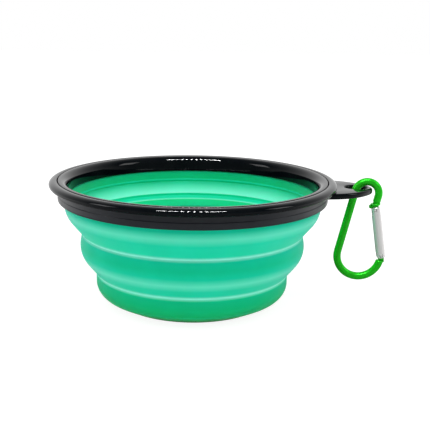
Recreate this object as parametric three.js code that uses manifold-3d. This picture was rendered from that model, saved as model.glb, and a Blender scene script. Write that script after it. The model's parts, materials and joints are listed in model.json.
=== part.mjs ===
// Collapsible silicone travel bowl with a clamped plastic rim and a carabiner on its tab.
// Millimetres, +Z up. The origin is the centre of the flat base and the tab points along +X.
import * as THREE from 'three';
import { mergeVertices } from 'three/addons/utils/BufferGeometryUtils.js';
import Module from 'manifold-3d';

const wasm = await Module();
wasm.setup();

// Rim: skirt, rolled lip and the joint between its two rings
const RIM_RADIUS = 65;
const RIM_DEPTH = 9.35;
const LIP_THICKNESS = 3.5;
const LIP_REACH = 2.6;
const LIP_OVERHANG = 3.8;
const LIP_END_ANGLE = 110;
const SKIRT_WALL = 2.5;
const SKIRT_ROUND = 1.2;
const SEAM_INSET = 3.8;
const SEAM_DROP = 0.5;
const SEAM_EDGE = 0.3;
const MOUTH_WALL = 1;
const MOUTH_WALL_DROP = 7.2;
const MOUTH_SLOPE = 7.5;
const CROWN_ROUND = 3.5;
const TOP_RING_DEPTH = 2.9;
const SNAP_BEAD = 0.35;

// Silicone walls and the flange that the rim clamps
const BAND_WALL = 2;
const WEB_WALL = 1.4;
const CLAMPED_WALL = 1.1;
const FLANGE_THICKNESS = 2.1;
const FLANGE_REACH = 1.5;
const LEDGE_ROUND = 2.4;
const LEDGE_ANGLE = 35;
const FOLD_RIDGE = 0.5;

// Silicone from the rim down: upper band, upper cone, middle band, lower cone and base cup
const UPPER_BAND_HEIGHT = 8.4;
const UPPER_SHOULDER = 2.4;
const UPPER_WEB_RISE = 6.9;
const UPPER_WEB_SPREAD = 5.65;
const MIDDLE_BAND_HEIGHT = 12.3;
const MIDDLE_BAND_BULGE = 0.7;
const LOWER_SHOULDER = 2.2;
const LOWER_WEB_RISE = 6.45;
const LOWER_WEB_SPREAD = 5.35;
const CUP_HEIGHT = 14.2;
const CUP_CORNER_RADIUS = 7;
const CUP_CORNER_SLOPE = 27;
const BASE_INSET = 10.8;
const FLOOR_THICKNESS = 2.2;

// Tab with its hole
const TAB_REACH = 16.6;
const TAB_THICKNESS = 2.6;
const TAB_BELOW_TOP = 3.2;
const TAB_ROOT_HALF_WIDTH = 17;
const TAB_TIP_RADIUS = 9;
const TAB_TIP_ANGLE = 30;
const TAB_TIP_BAR = 2.4;
const TAB_HOLE_LENGTH = 10;
const TAB_HOLE_WIDTH = 9;
const TAB_EDGE_ROUND = 0.9;

// Carabiner rod
const ROD_DIAMETER = 3.5;
const TOP_ARC_RADIUS = 5.4;
const BOTTOM_ARC_RADIUS = 10;
const ARC_SPACING = 29.4;
const ARC_SIDE_STEP = 2;
const HANG_BELOW_BAR = 1.55;
const HANG_INSIDE_BAR = 1.05;
const NOSE_ANGLE = 13.5;
const NOSE_LENGTH = 4.4;
const NOSE_COLLAR_DIAMETER = 4.6;
const NOSE_COLLAR_HEIGHT = 1;
const NOSE_HOOK = 0.8;
const ROD_END_ANGLE = 12.5;
const HINGE_RISE = 2.6;

// Gate and what is in it
const GATE_DIAMETER = 4.2;
const GATE_END_CHAMFER = 0.6;
const GATE_FOOT = 1.4;
const NOSE_GAP = 0.5;
const BLADE_THICKNESS = 1.4;
const BLADE_DEPTH = 3.4;
const BLADE_WIDTH = 2.4;
const NOSE_SLOT_DEPTH = 4.4;
const LATCH_PIN_DIAMETER = 1.1;
const LATCH_PIN_BELOW_END = 1.3;
const HINGE_PIN_DIAMETER = 1.3;
const TENON_RADIUS = 1.45;
const TENON_FLAT = 1.1;
const BORE_DIAMETER = 2.3;
const BORE_LENGTH = 10;
const PLUNGER_LENGTH = 2;
const SPRING_WIRE = 0.3;
const SPRING_TURNS = 6;

// Fits
const ASSEMBLY_GAP = 0.3;
const PIN_CLEARANCE = 0.15;

// Facets
const RING_SEGMENTS = 48;
const ROD_SIDES = 12;
const ROD_STEPS = 60;
const PIN_SIDES = 12;

const degrees = (angle) => THREE.MathUtils.degToRad(angle);
const point = (x, y) => new THREE.Vector2(x, y);

// Points on an elliptical arc, both ends included
function arc(centreX, centreY, radiusX, radiusY, startAngle, endAngle, steps) {
  const points = [];
  for (let step = 0; step <= steps; step += 1) {
    const angle = degrees(startAngle + ((endAngle - startAngle) * step) / steps);
    points.push(point(centreX + radiusX * Math.cos(angle), centreY + radiusY * Math.sin(angle)));
  }
  return points;
}

// Turns a profile of radius and height, listed anticlockwise, about the Z axis
function revolve(profile, closed, segments = RING_SEGMENTS) {
  const outline = closed ? [...profile, profile[0].clone()] : profile;
  return new THREE.LatheGeometry(outline, segments).rotateX(Math.PI / 2);
}

function extrude(shape, depth, bevel = 0) {
  return new THREE.ExtrudeGeometry(shape, {
    depth: depth - 2 * bevel,
    bevelEnabled: bevel > 0,
    bevelThickness: bevel,
    bevelSize: bevel,
    bevelOffset: -bevel,
    bevelSegments: 2,
    curveSegments: 8,
  }).translate(0, 0, bevel);
}

// A flat plate lying in the XZ plane, centred on Y = 0
function uprightPlate(outline, thickness) {
  const plate = extrude(new THREE.Shape(outline), thickness);
  return plate.translate(0, 0, -thickness / 2).rotateX(Math.PI / 2);
}

// A pin along Y through the given place in the XZ plane
function crossPin(x, z, diameter, length) {
  return new THREE.CylinderGeometry(diameter / 2, diameter / 2, length, PIN_SIDES).translate(x, 0, z);
}

function solid(geometry) {
  const bare = geometry.clone();
  bare.deleteAttribute('normal');
  bare.deleteAttribute('uv');
  const merged = mergeVertices(bare, 1e-4);
  return new wasm.Manifold(
    new wasm.Mesh({
      numProp: 3,
      vertProperties: new Float32Array(merged.attributes.position.array),
      triVerts: new Uint32Array(merged.index.array),
    }),
  );
}

function geometryOf(manifold) {
  const mesh = manifold.getMesh();
  const geometry = new THREE.BufferGeometry();
  geometry.setAttribute('position', new THREE.BufferAttribute(new Float32Array(mesh.vertProperties), 3));
  geometry.setIndex(new THREE.BufferAttribute(new Uint32Array(mesh.triVerts), 1));
  geometry.computeVertexNormals();
  return geometry;
}

const finishes = {
  silicone: { color: 0x2fc596, roughness: 0.5, metalness: 0 },
  rimBlack: { color: 0x0b0d10, roughness: 0.25, metalness: 0 },
  anodisedGreen: { color: 0x2d9c28, roughness: 0.35, metalness: 0.9 },
  silver: { color: 0xd6d5d2, roughness: 0.3, metalness: 1 },
  springSteel: { color: 0x9a9a98, roughness: 0.35, metalness: 1 },
};

function piece(name, geometry, finish) {
  const mesh = new THREE.Mesh(geometry, new THREE.MeshStandardMaterial(finishes[finish]));
  mesh.name = name;
  return mesh;
}

// Heights, from the base up
const lowerWebTop = CUP_HEIGHT + LOWER_WEB_RISE;
const bandTop = lowerWebTop + MIDDLE_BAND_HEIGHT;
const upperWebTop = bandTop + UPPER_WEB_RISE;
const upperBandTop = upperWebTop + UPPER_BAND_HEIGHT;
const rimTop = upperBandTop + RIM_DEPTH;
const topRingFoot = rimTop - TOP_RING_DEPTH;
const flangeTop = topRingFoot - ASSEMBLY_GAP;
const flangeBottom = flangeTop - FLANGE_THICKNESS;
const seamZ = rimTop - SEAM_DROP;
const beadZ = (topRingFoot + seamZ) / 2;

// Radii, from the rim inwards and down
const skirtRadius = RIM_RADIUS - LIP_OVERHANG;
const seamRadius = RIM_RADIUS - SEAM_INSET;
const skirtInside = skirtRadius - SKIRT_WALL;
const upperBandRadius = skirtInside - ASSEMBLY_GAP;
const flangeRadius = upperBandRadius + FLANGE_REACH;
const flangeRecess = flangeRadius + ASSEMBLY_GAP;
const clampedInside = upperBandRadius - CLAMPED_WALL;
const mouthWallOutside = clampedInside - ASSEMBLY_GAP;
const mouthRadius = mouthWallOutside - MOUTH_WALL;
const upperWebOuter = upperBandRadius - UPPER_SHOULDER;
const upperCornerRadius = upperWebOuter - UPPER_WEB_SPREAD;
const ledgeWidth = LEDGE_ROUND * (1 - Math.cos(degrees(LEDGE_ANGLE)));
const middleTopRadius = upperCornerRadius + ledgeWidth;
const middleBandRadius = middleTopRadius + MIDDLE_BAND_BULGE;
const lowerWebOuter = middleBandRadius - LOWER_SHOULDER;
const lowerCornerRadius = lowerWebOuter - LOWER_WEB_SPREAD;
const cupRadius = lowerCornerRadius + ledgeWidth;
const baseFlatRadius = cupRadius - BASE_INSET;

// Level thickness of a sloping web
const levelThickness = (spread, rise) => (WEB_WALL * Math.hypot(spread, rise)) / rise;
const lowerWebLevel = levelThickness(LOWER_WEB_SPREAD, LOWER_WEB_RISE);
const upperWebLevel = levelThickness(UPPER_WEB_SPREAD, UPPER_WEB_RISE);

// A band's rounded top edge, ending in the crease under the cone above
function ledgeEdge(radius, height) {
  const centreZ = height - LEDGE_ROUND * Math.sin(degrees(LEDGE_ANGLE));
  return arc(radius - LEDGE_ROUND, centreZ, LEDGE_ROUND, LEDGE_ROUND, 0, LEDGE_ANGLE, 3);
}

// A shoulder that leaves a cone at a slant and ends upright
function shoulder(bottomRadius, bottom, topRadius, top, steps) {
  const points = [];
  for (let step = 0; step <= steps; step += 1) {
    const t = step / steps;
    const radius = bottomRadius + (topRadius - bottomRadius) * Math.sin((Math.PI / 2) * t);
    points.push(point(radius, bottom + (top - bottom) * t));
  }
  return points;
}

function baseCup() {
  const slope = degrees(CUP_CORNER_SLOPE);
  const cornerX = cupRadius - CUP_CORNER_RADIUS;
  const slopeX = cornerX + CUP_CORNER_RADIUS * Math.sin(slope);
  const cornerZ = (slopeX - baseFlatRadius) * Math.tan(slope) + CUP_CORNER_RADIUS * Math.cos(slope);
  const innerCorner = CUP_CORNER_RADIUS - BAND_WALL;
  const innerBend = arc(cornerX, cornerZ, innerCorner, innerCorner, 0, CUP_CORNER_SLOPE - 90, 4);
  const bendEnd = innerBend.at(-1);
  const floorRadius = bendEnd.x - (bendEnd.y - FLOOR_THICKNESS) / Math.tan(slope);
  const outside = [
    point(0, 0),
    point(baseFlatRadius, 0),
    ...arc(cornerX, cornerZ, CUP_CORNER_RADIUS, CUP_CORNER_RADIUS, CUP_CORNER_SLOPE - 90, 0, 5),
    ...ledgeEdge(cupRadius, CUP_HEIGHT),
  ];
  const inside = [
    point(lowerCornerRadius - lowerWebLevel, CUP_HEIGHT),
    ...innerBend,
    point(floorRadius, FLOOR_THICKNESS),
    point(0, FLOOR_THICKNESS),
  ];
  return revolve([...outside, ...inside], false);
}

function lowerFold() {
  return revolve(
    [
      point(lowerCornerRadius - lowerWebLevel, CUP_HEIGHT),
      point(lowerCornerRadius, CUP_HEIGHT),
      point(lowerWebOuter, lowerWebTop),
      point(lowerWebOuter - lowerWebLevel, lowerWebTop),
    ],
    true,
  );
}

function middleBand() {
  const bulgeHeight = MIDDLE_BAND_HEIGHT / 2;
  const bulgeZ = lowerWebTop + bulgeHeight;
  const innerTop = upperCornerRadius - upperWebLevel;
  const innerBottom = lowerWebOuter - lowerWebLevel;
  const innerMiddle = middleBandRadius - BAND_WALL;
  const outside = [
    ...shoulder(lowerWebOuter, lowerWebTop, middleBandRadius, bulgeZ, 4),
    point((middleBandRadius + middleTopRadius) / 2, bulgeZ + bulgeHeight / 2),
    ...ledgeEdge(middleTopRadius, bandTop),
  ];
  const inside = [
    point(innerTop, bandTop),
    point((innerTop + innerMiddle) / 2, bandTop - bulgeHeight / 3),
    point(innerMiddle, bulgeZ),
    point((innerBottom + innerMiddle) / 2, lowerWebTop + bulgeHeight / 3),
    point(innerBottom, lowerWebTop),
  ];
  return revolve([...outside, ...inside], true);
}

// The upper cone has a raised ridge round its inner face, where it meets the band above
function upperFold() {
  const innerBottom = upperCornerRadius - upperWebLevel;
  const innerTop = upperWebOuter - upperWebLevel;
  const ridgeZ = upperWebTop - WEB_WALL;
  const ridgeX = innerTop - (UPPER_WEB_SPREAD * WEB_WALL) / UPPER_WEB_RISE;
  return revolve(
    [
      point(innerBottom, bandTop),
      point(upperCornerRadius, bandTop),
      point(upperWebOuter, upperWebTop),
      point(innerTop - FOLD_RIDGE, upperWebTop),
      point(ridgeX - FOLD_RIDGE, ridgeZ),
      point(ridgeX, ridgeZ - FOLD_RIDGE / 2),
    ],
    true,
  );
}

function upperBand() {
  const innerBottom = upperWebOuter - upperWebLevel - FOLD_RIDGE;
  const bandInside = upperBandRadius - BAND_WALL;
  const underRim = rimTop - MOUTH_WALL_DROP - ASSEMBLY_GAP;
  const outside = [
    ...shoulder(upperWebOuter, upperWebTop, upperBandRadius, upperBandTop, 4),
    point(upperBandRadius, flangeBottom),
    point(flangeRadius, flangeBottom),
    point(flangeRadius, flangeTop),
  ];
  const inside = [
    point(clampedInside, flangeTop),
    point(clampedInside, underRim),
    point(bandInside, underRim),
    ...shoulder(innerBottom, upperWebTop, bandInside, upperBandTop, 4).reverse(),
  ];
  return revolve([...outside, ...inside], true);
}

// The tab's outline: a wide root drawn into a round tip, with an oval hole near the tip
function tabPlate() {
  const tipX = RIM_RADIUS + TAB_REACH;
  const tipCentre = tipX - TAB_TIP_RADIUS;
  const rootX = skirtRadius - 2 * SKIRT_ROUND;
  const flank = arc(tipCentre, 0, TAB_TIP_RADIUS, TAB_TIP_RADIUS, -TAB_TIP_ANGLE, 0, 1)[0];
  const outline = new THREE.Shape();
  outline.moveTo(rootX, -TAB_ROOT_HALF_WIDTH);
  outline.quadraticCurveTo(tipCentre, -TAB_ROOT_HALF_WIDTH, flank.x, flank.y);
  outline.absarc(tipCentre, 0, TAB_TIP_RADIUS, -degrees(TAB_TIP_ANGLE), degrees(TAB_TIP_ANGLE), false);
  outline.quadraticCurveTo(tipCentre, TAB_ROOT_HALF_WIDTH, rootX, TAB_ROOT_HALF_WIDTH);
  const hole = new THREE.Path();
  hole.absellipse(tipX - TAB_TIP_BAR - TAB_HOLE_LENGTH / 2, 0,
    TAB_HOLE_LENGTH / 2, TAB_HOLE_WIDTH / 2, 0, 2 * Math.PI, true);
  outline.holes.push(hole);
  const bottom = rimTop - TAB_BELOW_TOP - TAB_THICKNESS;
  const plate = extrude(outline, TAB_THICKNESS, TAB_EDGE_ROUND).translate(0, 0, bottom);
  const rootRadius = (flangeRecess + skirtRadius) / 2;
  const inside = new THREE.CylinderGeometry(rootRadius, rootRadius, 2 * rimTop, RING_SEGMENTS)
    .rotateX(Math.PI / 2).translate(0, 0, rimTop);
  return solid(plate).subtract(solid(inside));
}

function rimOuterRing() {
  const flangeSeat = flangeBottom - ASSEMBLY_GAP;
  const lipMiddle = rimTop - LIP_THICKNESS / 2;
  const lipCentre = RIM_RADIUS - LIP_REACH;
  const groove = SNAP_BEAD + ASSEMBLY_GAP;
  const ring = revolve(
    [
      point(skirtInside, upperBandTop),
      ...arc(skirtRadius - SKIRT_ROUND, upperBandTop + SKIRT_ROUND, SKIRT_ROUND, SKIRT_ROUND, -90, 0, 3),
      point(skirtRadius, rimTop - LIP_THICKNESS),
      ...arc(lipCentre, lipMiddle, LIP_REACH, LIP_THICKNESS / 2, -90, LIP_END_ANGLE, 9),
      point(seamRadius, seamZ),
      point(seamRadius, beadZ + groove),
      point(seamRadius + SNAP_BEAD, beadZ),
      point(seamRadius, beadZ - groove),
      point(seamRadius, flangeTop),
      point(flangeRecess, flangeTop),
      point(flangeRecess, flangeSeat),
      point(skirtInside, flangeSeat),
    ],
    true,
  );
  return geometryOf(solid(ring).add(tabPlate()));
}

// The mouth wall leans outwards going up and rolls over into a broad crown, level with the lip at the seam
function rimTopRing() {
  const outer = seamRadius - ASSEMBLY_GAP;
  const slope = degrees(MOUTH_SLOPE);
  const wallBottom = rimTop - MOUTH_WALL_DROP;
  const crownZ = rimTop - CROWN_ROUND;
  const wallAtCrown = mouthRadius + (crownZ - wallBottom) * Math.tan(slope);
  const crownX = wallAtCrown + CROWN_ROUND / Math.cos(slope);
  return revolve(
    [
      point(mouthRadius, wallBottom),
      point(mouthWallOutside, wallBottom),
      point(mouthWallOutside, topRingFoot),
      point(outer, topRingFoot),
      point(outer, beadZ - SNAP_BEAD),
      point(outer + SNAP_BEAD, beadZ),
      point(outer, beadZ + SNAP_BEAD),
      point(outer, rimTop - SEAM_EDGE),
      point(outer - SEAM_EDGE, rimTop),
      ...arc(crownX, crownZ, CROWN_ROUND, CROWN_ROUND, 90, 180 - MOUTH_SLOPE, 7),
    ],
    true,
  );
}

// The carabiner's own frame has its origin at the centre of the top arc, in the XZ plane
const barX = RIM_RADIUS + TAB_REACH - TAB_TIP_BAR / 2;
const barZ = rimTop - TAB_BELOW_TOP - TAB_THICKNESS / 2;
const bottomCentre = point(-ARC_SIDE_STEP, -ARC_SPACING);
const spineLean = Math.atan2(ARC_SIDE_STEP, ARC_SPACING)
  + Math.asin((BOTTOM_ARC_RADIUS - TOP_ARC_RADIUS) / Math.hypot(ARC_SIDE_STEP, ARC_SPACING));
const noseStart = point(
  TOP_ARC_RADIUS * Math.cos(degrees(NOSE_ANGLE)),
  -TOP_ARC_RADIUS * Math.sin(degrees(NOSE_ANGLE)),
);
const noseEnd = point(
  noseStart.x - NOSE_LENGTH * Math.sin(degrees(NOSE_ANGLE)),
  noseStart.y - NOSE_LENGTH * Math.cos(degrees(NOSE_ANGLE)),
);
const rodEnd = point(
  bottomCentre.x + BOTTOM_ARC_RADIUS * Math.cos(degrees(ROD_END_ANGLE)),
  bottomCentre.y - BOTTOM_ARC_RADIUS * Math.sin(degrees(ROD_END_ANGLE)),
);
const hinge = point(rodEnd.x + HINGE_RISE * Math.tan(degrees(ROD_END_ANGLE) / 2), rodEnd.y + HINGE_RISE);
const gateLean = Math.atan2(hinge.x - noseEnd.x, noseEnd.y - hinge.y);
const gateLength = hinge.distanceTo(noseEnd) - NOSE_GAP;
const latchHeight = gateLength - LATCH_PIN_BELOW_END;
const latchX = -LATCH_PIN_DIAMETER / 2;
const latchPinLength = GATE_DIAMETER - 2 * PIN_CLEARANCE;

// A circular arc in the XZ plane
class UprightArc extends THREE.Curve {
  constructor(centre, radius, startAngle, endAngle) {
    super();
    Object.assign(this, { centre, radius, startAngle, endAngle });
  }

  getPoint(t) {
    const angle = this.startAngle + (this.endAngle - this.startAngle) * t;
    const x = this.centre.x + this.radius * Math.cos(angle);
    return new THREE.Vector3(x, 0, this.centre.y + this.radius * Math.sin(angle));
  }
}

// The bent rod, from its nose over the top arc, down the spine and round the bottom arc
function bentRod() {
  const lift = (place) => new THREE.Vector3(place.x, 0, place.y);
  const spineAngle = Math.PI - spineLean;
  const topArc = new UprightArc(point(0, 0), TOP_ARC_RADIUS, -degrees(NOSE_ANGLE), spineAngle);
  const bottomArc = new UprightArc(bottomCentre, BOTTOM_ARC_RADIUS, spineAngle,
    2 * Math.PI - degrees(ROD_END_ANGLE));
  const path = new THREE.CurvePath();
  path.add(new THREE.LineCurve3(lift(noseEnd), lift(noseStart)));
  path.add(topArc);
  path.add(new THREE.LineCurve3(topArc.getPoint(1), bottomArc.getPoint(0)));
  path.add(bottomArc);
  const section = new THREE.Shape(arc(0, 0, ROD_DIAMETER / 2, ROD_DIAMETER / 2, 0, 360, ROD_SIDES).slice(1));
  return new THREE.ExtrudeGeometry(section, { steps: ROD_STEPS, extrudePath: path });
}

// Moves a geometry from the gate's frame, with Z along the gate and its origin at the hinge pin
const fromGate = (geometry) => geometry.rotateY(-gateLean).translate(hinge.x, 0, hinge.y);

// The blade that fills the gate's upper slot, with a notch for the latch pin on its inner side.
// Above the notch it stands out past the gate as a hook.
function noseBlade() {
  const top = gateLength + NOSE_GAP + NOSE_COLLAR_HEIGHT / 2;
  const bottom = gateLength - BLADE_DEPTH;
  const notch = LATCH_PIN_DIAMETER / 2 + ASSEMBLY_GAP;
  const half = BLADE_WIDTH / 2;
  const hook = GATE_DIAMETER / 2 + NOSE_HOOK;
  const notchPoints = arc(latchX, latchHeight, notch, notch, -90, 90, 6);
  return uprightPlate(
    [
      point(-hook, top),
      point(-hook, latchHeight + notch),
      ...notchPoints.reverse(),
      point(-half, latchHeight - notch),
      point(-half, bottom + half / 2),
      point(-half / 2, bottom),
      point(half / 2, bottom),
      point(half, bottom + half / 2),
      point(half, top),
    ],
    BLADE_THICKNESS,
  );
}

// The flattened rod end that the gate turns on, with a flat for the plunger
function hingeTenon() {
  const flatHalf = Math.sqrt(TENON_RADIUS ** 2 - TENON_FLAT ** 2);
  const flatAngle = THREE.MathUtils.radToDeg(Math.atan2(TENON_FLAT, flatHalf));
  return uprightPlate(
    [
      point(TENON_FLAT, -HINGE_RISE - ROD_DIAMETER / 4),
      ...arc(0, 0, TENON_RADIUS, TENON_RADIUS, 0, flatAngle, 3),
      ...arc(0, 0, TENON_RADIUS, TENON_RADIUS, 180 - flatAngle, 180, 3),
      point(-TENON_FLAT, -HINGE_RISE - ROD_DIAMETER / 4),
    ],
    BLADE_THICKNESS,
  );
}

// The collar round the end of the nose, square to the gate
function noseCollar() {
  const radius = NOSE_COLLAR_DIAMETER / 2;
  return new THREE.CylinderGeometry(radius, radius, NOSE_COLLAR_HEIGHT, 2 * ROD_SIDES)
    .rotateX(Math.PI / 2).translate(0, 0, gateLength + NOSE_GAP + NOSE_COLLAR_HEIGHT / 2);
}

// The room that squares the end of the rod to the gate
function noseTrim() {
  return new THREE.CylinderGeometry(GATE_DIAMETER, GATE_DIAMETER, 2 * NOSE_GAP, 2 * ROD_SIDES)
    .rotateX(Math.PI / 2).translate(0, 0, gateLength);
}

function carabinerBody() {
  const pinHole = HINGE_PIN_DIAMETER + 2 * PIN_CLEARANCE;
  const tenon = solid(fromGate(hingeTenon()));
  const hole = solid(fromGate(crossPin(0, 0, pinHole, GATE_DIAMETER)));
  const nose = solid(fromGate(noseBlade())).add(solid(fromGate(noseCollar())));
  const rod = solid(bentRod()).subtract(solid(fromGate(noseTrim())));
  return geometryOf(rod.add(nose).add(tenon).subtract(hole));
}

const tenonRoom = TENON_RADIUS + ASSEMBLY_GAP;
const plungerBottom = TENON_FLAT + ASSEMBLY_GAP;
const springBottom = plungerBottom + PLUNGER_LENGTH + ASSEMBLY_GAP;
const boreTop = tenonRoom + BORE_LENGTH;

function gate() {
  const radius = GATE_DIAMETER / 2;
  const barrel = revolve(
    [
      point(0, -GATE_FOOT),
      point(radius - GATE_END_CHAMFER, -GATE_FOOT),
      point(radius, GATE_END_CHAMFER - GATE_FOOT),
      point(radius, gateLength - GATE_END_CHAMFER),
      point(radius - GATE_END_CHAMFER, gateLength),
      point(0, gateLength),
    ],
    false,
    2 * ROD_SIDES,
  );
  const slotWidth = BLADE_THICKNESS + 2 * ASSEMBLY_GAP;
  const hingeSlotHeight = tenonRoom + 2 * GATE_FOOT;
  const hingeSlot = new THREE.BoxGeometry(2 * GATE_DIAMETER, slotWidth, hingeSlotHeight)
    .translate(0, 0, tenonRoom - hingeSlotHeight / 2);
  const noseSlot = new THREE.BoxGeometry(2 * GATE_DIAMETER, slotWidth, 2 * NOSE_SLOT_DEPTH)
    .translate(0, 0, gateLength);
  const bore = new THREE.CylinderGeometry(BORE_DIAMETER / 2, BORE_DIAMETER / 2, boreTop, PIN_SIDES)
    .rotateX(Math.PI / 2).translate(0, 0, boreTop / 2);
  const hingeHole = crossPin(0, 0, HINGE_PIN_DIAMETER + 2 * PIN_CLEARANCE, 2 * GATE_DIAMETER);
  const latchHole = crossPin(latchX, latchHeight, LATCH_PIN_DIAMETER + 2 * PIN_CLEARANCE, 2 * GATE_DIAMETER);
  return geometryOf(
    [hingeSlot, noseSlot, bore, hingeHole, latchHole]
      .reduce((body, cut) => body.subtract(solid(cut)), solid(barrel)),
  );
}

function plunger() {
  const radius = BORE_DIAMETER / 2 - PIN_CLEARANCE;
  return new THREE.CylinderGeometry(radius, radius, PLUNGER_LENGTH, PIN_SIDES)
    .rotateX(Math.PI / 2).translate(0, 0, plungerBottom + PLUNGER_LENGTH / 2);
}

// The coil spring between the plunger and the end of the bore
class Helix extends THREE.Curve {
  constructor(radius, bottom, top, turns) {
    super();
    Object.assign(this, { radius, bottom, top, turns });
  }

  getPoint(t) {
    const angle = 2 * Math.PI * this.turns * t;
    const height = this.bottom + (this.top - this.bottom) * t;
    return new THREE.Vector3(this.radius * Math.cos(angle), this.radius * Math.sin(angle), height);
  }
}

function spring() {
  const wire = SPRING_WIRE / 2;
  const coilRadius = BORE_DIAMETER / 2 - PIN_CLEARANCE - wire;
  const helix = new Helix(coilRadius, springBottom + wire, boreTop - ASSEMBLY_GAP - wire, SPRING_TURNS);
  const section = new THREE.Shape(arc(0, 0, wire, wire, 0, 360, 5).slice(1));
  const pitch = (helix.top - helix.bottom) / SPRING_TURNS;
  console.log(`least gap between the spring's turns: ${(pitch - SPRING_WIRE).toFixed(2)} mm`);
  return new THREE.ExtrudeGeometry(section, { steps: 8 * SPRING_TURNS, extrudePath: helix });
}

const gateGroup = new THREE.Group();
gateGroup.position.set(hinge.x, 0, hinge.y);
gateGroup.rotation.y = -gateLean;
gateGroup.add(
  piece('carabiner_gate', gate(), 'silver'),
  piece('gate_hinge_pin', crossPin(0, 0, HINGE_PIN_DIAMETER, GATE_DIAMETER), 'silver'),
  piece('gate_latch_pin', crossPin(latchX, latchHeight, LATCH_PIN_DIAMETER, latchPinLength), 'silver'),
  piece('gate_plunger', plunger(), 'springSteel'),
  piece('gate_spring', spring(), 'springSteel'),
);

const carabiner = new THREE.Group();
carabiner.position.set(barX - HANG_INSIDE_BAR, 0, barZ - HANG_BELOW_BAR);
carabiner.add(piece('carabiner_body', carabinerBody(), 'anodisedGreen'), gateGroup);

const bowl = new THREE.Group();
bowl.add(
  piece('base_cup', baseCup(), 'silicone'),
  piece('lower_fold', lowerFold(), 'silicone'),
  piece('middle_band', middleBand(), 'silicone'),
  piece('upper_fold', upperFold(), 'silicone'),
  piece('upper_band', upperBand(), 'silicone'),
  piece('rim_outer_ring', rimOuterRing(), 'rimBlack'),
  piece('rim_top_ring', rimTopRing(), 'rimBlack'),
  carabiner,
);

export default bowl;
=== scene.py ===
# Folding silicone travel bowl with a clamped black rim and a small green carabiner on its tab.
# Metres, +Z up. The bowl's axis is Z, its base stands at Z = 0 and the tab points along +X.
import json
import math

import bmesh
import bpy
from mathutils import Matrix, Vector


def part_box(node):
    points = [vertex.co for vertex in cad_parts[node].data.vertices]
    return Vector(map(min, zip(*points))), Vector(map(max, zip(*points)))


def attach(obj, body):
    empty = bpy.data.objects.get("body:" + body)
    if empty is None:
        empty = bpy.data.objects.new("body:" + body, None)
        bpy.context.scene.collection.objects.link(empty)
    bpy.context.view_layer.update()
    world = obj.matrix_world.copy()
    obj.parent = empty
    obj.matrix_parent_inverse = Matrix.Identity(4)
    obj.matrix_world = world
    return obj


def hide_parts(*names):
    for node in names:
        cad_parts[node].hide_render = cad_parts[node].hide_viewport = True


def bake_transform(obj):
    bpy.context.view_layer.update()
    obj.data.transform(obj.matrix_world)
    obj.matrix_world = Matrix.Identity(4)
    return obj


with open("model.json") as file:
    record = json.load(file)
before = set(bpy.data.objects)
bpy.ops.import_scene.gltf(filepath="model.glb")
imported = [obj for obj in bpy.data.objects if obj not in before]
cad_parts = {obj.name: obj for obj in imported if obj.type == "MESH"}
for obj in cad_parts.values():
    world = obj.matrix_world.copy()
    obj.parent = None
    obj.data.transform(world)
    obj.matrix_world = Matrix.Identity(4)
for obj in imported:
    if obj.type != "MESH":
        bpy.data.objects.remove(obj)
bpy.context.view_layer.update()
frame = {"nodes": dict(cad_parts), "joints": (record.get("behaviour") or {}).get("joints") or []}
joints = {joint["name"]: joint for joint in frame["joints"]}

MM = 0.001

# Facets of the turned, swept and round pieces
RING_SEGMENTS = 256
FILLET_STEP = math.radians(5)
FEWEST_FILLET_STEPS = 3
ROD_SIDES = 32
TUBE_SIDES = 48
LIP_STEPS = 40
TAB_STEPS = 16
TAB_EDGE_STEPS = 8
ROD_ARC_STEPS = 64
ROD_END_STEPS = 6
BLADE_CORNER_STEPS = 4
BLADE_ARC_STEPS = 12
TENON_ARC_STEPS = 6
LONGEST_RUN = 0.8 * MM
ON_AXIS = 0.0001 * MM
SHARP_ANGLE = math.radians(38)

# Heights and radii that the pieces share, read from the frame
CUP_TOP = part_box("base_cup")[1].z
CUP_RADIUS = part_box("base_cup")[1].x
LOWER_WEB_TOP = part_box("lower_fold")[1].z
BAND_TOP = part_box("middle_band")[1].z
BAND_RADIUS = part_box("middle_band")[1].x
UPPER_WEB_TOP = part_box("upper_fold")[1].z
FLANGE_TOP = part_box("upper_band")[1].z
FLANGE_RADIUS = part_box("upper_band")[1].x
RIM_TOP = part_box("rim_outer_ring")[1].z
RIM_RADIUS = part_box("rim_outer_ring")[1].y
SKIRT_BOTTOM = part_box("rim_outer_ring")[0].z
MOUTH_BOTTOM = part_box("rim_top_ring")[0].z
TAB_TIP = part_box("rim_outer_ring")[1].x

# Silicone, outside
LEDGE_ROUND = 2.4 * MM
LEDGE_ANGLE = math.radians(35)
LEDGE_WIDTH = LEDGE_ROUND * (1 - math.cos(LEDGE_ANGLE))
BASE_FLAT_RADIUS = 33.6 * MM
BASE_SLOPE = math.radians(27)
CUP_ROUND = 7.0 * MM
BAND_BULGE = 0.7 * MM
BAND_BULGE_Z = 28.3 * MM
LOWER_WEB_SPREAD = 5.35 * MM
UPPER_WEB_SPREAD = 5.65 * MM
SHOULDER_ROUND = 11.0 * MM
UPPER_BAND_RADIUS = 58.35 * MM
FLANGE_THICKNESS = 2.1 * MM

# Silicone, inside
FLOOR_THICKNESS = 2.2 * MM
BAND_WALL = 2.0 * MM
WEB_LEVEL_WALL = 1.88 * MM
CLAMPED_INSIDE = 57.3 * MM
INNER_WALL_RADIUS = 56.3 * MM
INNER_RIDGE_Z = 45.75 * MM
INNER_RIDGE = 0.4 * MM
INNER_GROOVE_Z = INNER_RIDGE_Z - 2 * INNER_RIDGE
INNER_SHOULDER_ROUND = 8.0 * MM
INNER_SHOULDER_SLOPES = (math.radians(10), math.radians(42))
INNER_EDGE_Z = 39.25 * MM
INNER_NOSE = 0.9 * MM
CONE_LINE_Z = 36.5 * MM
CONE_LINE = 0.22 * MM

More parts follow.
